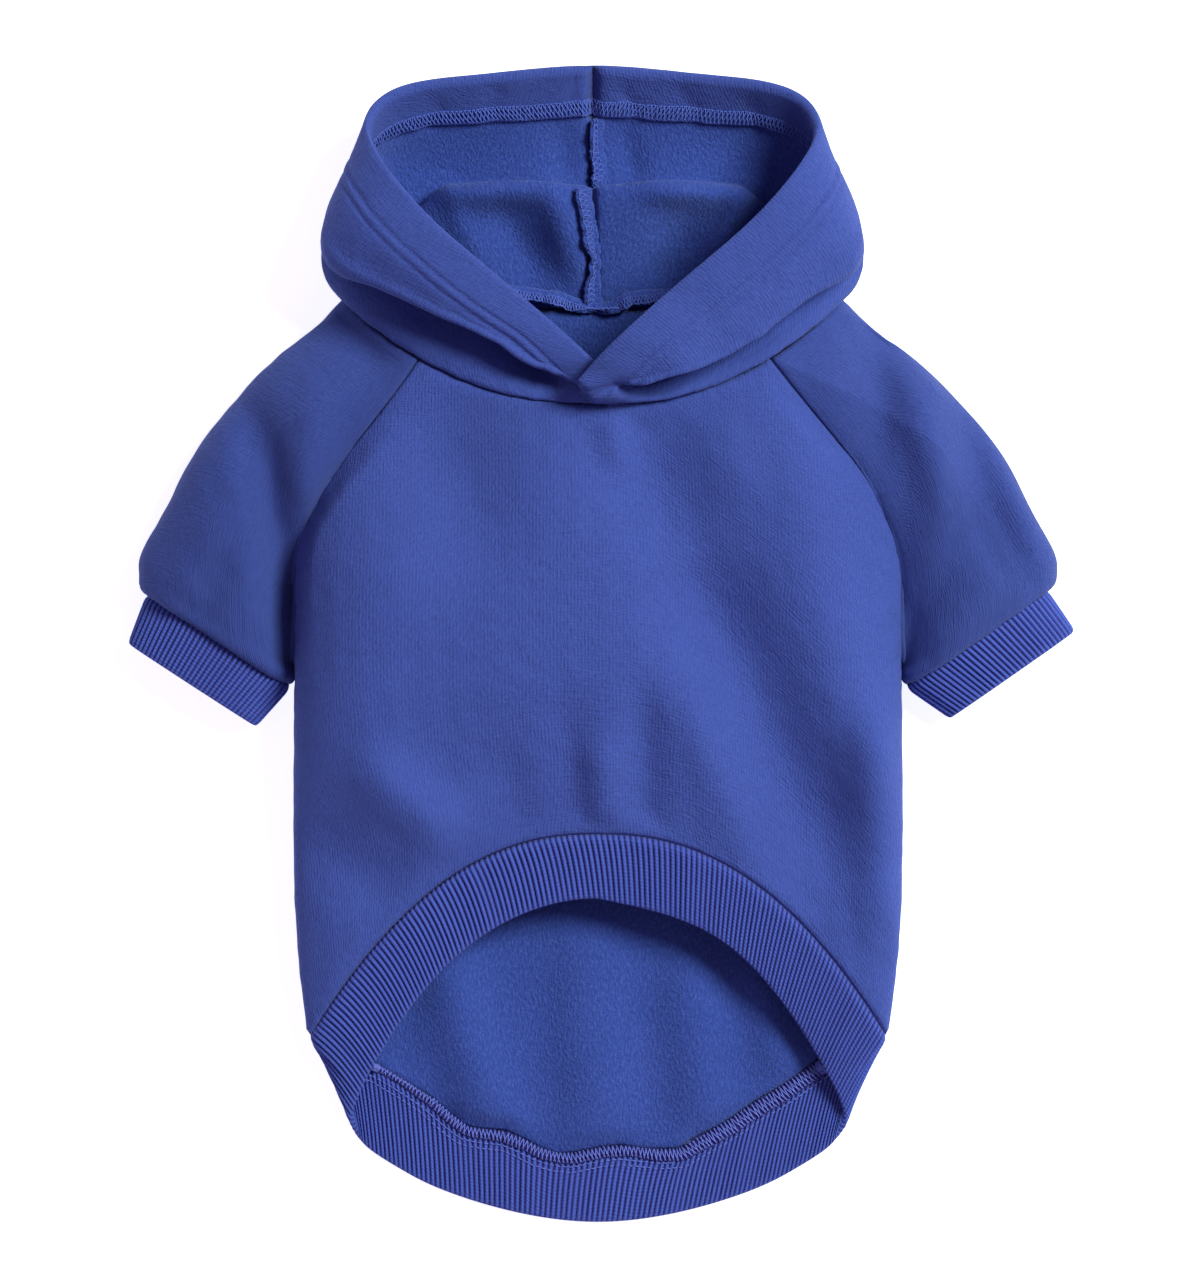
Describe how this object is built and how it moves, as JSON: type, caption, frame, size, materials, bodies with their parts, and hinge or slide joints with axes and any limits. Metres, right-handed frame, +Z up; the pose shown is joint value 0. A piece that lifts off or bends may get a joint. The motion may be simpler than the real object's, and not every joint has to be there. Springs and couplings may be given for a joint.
{
  "type": "dog hoodie",
  "caption": "Soft pullover hoodie for a dog, lying flat belly side up, with raglan sleeves, rib cuffs, an arched rib hem band and an open hood.",
  "frame": {"origin": "on the surface it lies on, under the middle of its bounding box", "axes": "+Z up out of the surface, through the belly; +Y along the body, from the hem to the hood; +X towards the hoodie's side that is on the right in the picture"},
  "size_m": [0.3865, 0.4739, 0.0678],
  "materials": {
    "blue_fleece": "matt brushed fleece-backed knit",
    "blue_rib": "matt one by one rib knit"
  },
  "bodies": {
    "root": {"belly_panel": "blue_fleece", "back_panel": "blue_fleece", "sleeve_left": "blue_fleece", "sleeve_right": "blue_fleece", "cuff_left": "blue_rib", "cuff_right": "blue_rib", "hem_band": "blue_rib", "hood_left": "blue_fleece", "hood_right": "blue_fleece"}
  },
  "joints": []
}
